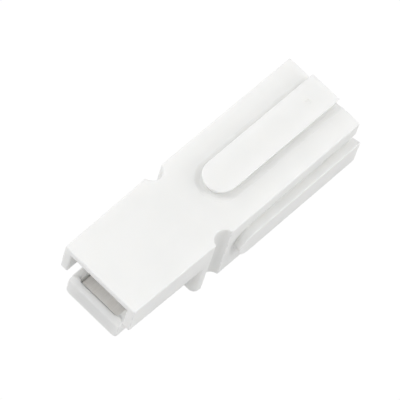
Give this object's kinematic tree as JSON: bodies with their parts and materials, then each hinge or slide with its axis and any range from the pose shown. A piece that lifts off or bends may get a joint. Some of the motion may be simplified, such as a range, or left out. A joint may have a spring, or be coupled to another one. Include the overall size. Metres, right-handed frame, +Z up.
{
  "type": "single-pole power connector",
  "caption": "Genderless single-pole power connector half: white moulded hooded housing with dovetail rails, steel leaf spring and crimp contact.",
  "frame": {"origin": "centre of the bounding box, at the level of the housing's underside", "axes": "+Y along the contact from the mouth to the cable end, +Z up through the hood's roof, +X towards the side rail"},
  "size_m": [0.0218, 0.065, 0.0207],
  "materials": {
    "white_plastic": "satin moulded polycarbonate, white",
    "spring_steel": "rolled stainless strip",
    "plated_copper": "satin silver plate over copper"
  },
  "bodies": {
    "housing_body": {"housing": "white_plastic"},
    "spring_body": {"leaf_spring": "spring_steel"},
    "contact_body": {"contact": "plated_copper"}
  },
  "joints": [
    {"name": "contact_slide", "type": "slide", "parent": "housing_body", "child": "contact_body", "axis": [0, -1, 0], "range_m": [-0.052, 0.0132], "deforming": ["leaf_spring"]},
    {"name": "spring_flex", "type": "hinge", "parent": "housing_body", "child": "spring_body", "pos_m": [-0.00088, -0.0053, 0.005], "axis": [1, 0, 0], "range_deg": [0, 2], "stiffness_Nm_per_rad": 4.7}
  ]
}
